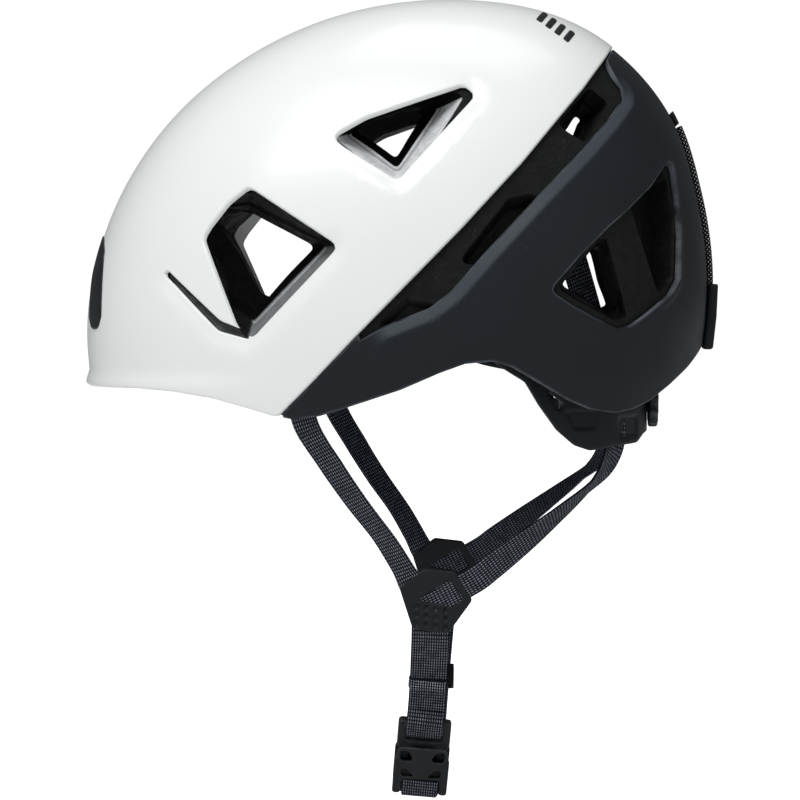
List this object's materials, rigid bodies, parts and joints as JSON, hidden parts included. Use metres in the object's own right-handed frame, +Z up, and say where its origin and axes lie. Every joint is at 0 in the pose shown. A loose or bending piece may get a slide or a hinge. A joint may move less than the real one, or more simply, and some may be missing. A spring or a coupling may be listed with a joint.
{
  "type": "climbing helmet",
  "caption": "Climbing helmet with vented two-part shell, foam liner, dial-adjusted rear cradle, four-point straps and a side-release chin buckle.",
  "frame": {"origin": "underside of the crown pad, where the top of the head rests, above the middle of the head cavity", "axes": "+Z up, +X towards the back of the helmet (it faces -X), -Y towards the wearer's left"},
  "size_m": [0.2852, 0.2104, 0.3599],
  "materials": {
    "shell_white": "satin gloss moulded shell",
    "shell_black": "satin moulded shell",
    "foam": "moulded bead foam",
    "padding": "brushed knit over soft foam",
    "fit_plastic": "satin moulded plastic",
    "webbing": "woven polyester webbing",
    "elastic": "braided elastic cord with pale flecks",
    "steel": "plain steel"
  },
  "bodies": {
    "root": {"front_shell": "shell_white", "rear_shell": "shell_black", "foam_liner": "foam", "crown_pad": "padding", "brow_pad": "padding", "headband_pin_left": "fit_plastic", "headband_pin_right": "fit_plastic", "front_strap_left": "webbing", "front_strap_right": "webbing", "rear_strap_left": "webbing", "rear_strap_right": "webbing", "strap_divider_left": "fit_plastic", "strap_divider_right": "fit_plastic", "front_anchor_left": "fit_plastic", "front_anchor_right": "fit_plastic", "rear_anchor_left": "fit_plastic", "rear_anchor_right": "fit_plastic", "chin_strap_left": "webbing", "chin_strap_right": "webbing", "buckle_male": "fit_plastic", "bungee_anchor": "fit_plastic"},
    "cradle": {"cradle": "fit_plastic", "dial_housing": "fit_plastic", "housing_cover": "fit_plastic", "click_spring": "steel", "cradle_pad_left": "padding", "cradle_pad_right": "padding", "headband_arm_left": "fit_plastic", "headband_arm_right": "fit_plastic"},
    "fit_dial": {"fit_dial": "fit_plastic", "dial_pinion": "fit_plastic", "dial_screw": "steel"},
    "headband_left": {"headband_rack_left": "fit_plastic"},
    "headband_right": {"headband_rack_right": "fit_plastic"},
    "bungee": {"bungee_cord": "elastic", "bungee_hook": "fit_plastic"},
    "buckle_female": {"buckle_female": "fit_plastic"},
    "latch_front": {"buckle_latch_front": "fit_plastic"},
    "latch_rear": {"buckle_latch_rear": "fit_plastic"},
    "keeper": {"strap_keeper": "fit_plastic"}
  },
  "joints": [
    {"name": "cradle_tilt", "type": "hinge", "parent": "root", "child": "cradle", "pos_m": [-0.02, 0, -0.112], "axis": [0, 1, 0], "range_deg": [-7, 12], "deforming": ["rear_strap_left", "rear_strap_right"]},
    {"name": "dial_turn", "type": "hinge", "parent": "cradle", "child": "fit_dial", "pos_m": [0.1146, 0, -0.141], "axis": [1, 0, 0], "range_deg": [-143, 143]},
    {"name": "rack_left_slide", "type": "slide", "parent": "cradle", "child": "headband_left", "axis": [0, -1, 0], "range_m": [-0.008, 0.008], "deforming": ["headband_arm_left"]},
    {"name": "rack_right_slide", "type": "slide", "parent": "cradle", "child": "headband_right", "axis": [0, 1, 0], "range_m": [-0.008, 0.008], "deforming": ["headband_arm_right"]},
    {"name": "bungee_lift", "type": "hinge", "parent": "root", "child": "bungee", "pos_m": [0.1262, 0, -0.0206], "axis": [0, -1, 0], "range_deg": [0, 50]},
    {"name": "buckle_release", "type": "slide", "parent": "root", "child": "buckle_female", "axis": [-0.0872, 0.5279, -0.8448], "range_m": [0, 0.016], "deforming": ["chin_strap_right"]},
    {"name": "latch_rear_squeeze", "type": "hinge", "parent": "root", "child": "latch_rear", "pos_m": [0.01892, -0.0299, -0.29766], "axis": [0, 0.848, 0.5299], "range_deg": [0, 6], "stiffness_Nm_per_rad": 0.05},
    {"name": "latch_front_squeeze", "type": "hinge", "parent": "root", "child": "latch_front", "pos_m": [0.00398, -0.03059, -0.29655], "axis": [0, -0.848, -0.5299], "range_deg": [0, 6], "stiffness_Nm_per_rad": 0.05},
    {"name": "keeper_slide", "type": "slide", "parent": "root", "child": "keeper", "axis": [0.0602, 0.6017, 0.7965], "range_m": [-0.008, 0.008]}
  ],
  "couplings": [
    {"joint": "rack_left_slide", "follows": "dial_turn", "m_per_rad": 0.0032},
    {"joint": "rack_right_slide", "follows": "dial_turn", "m_per_rad": 0.0032},
    {"joint": "latch_front_squeeze", "follows": "latch_rear_squeeze", "ratio": 1}
  ]
}
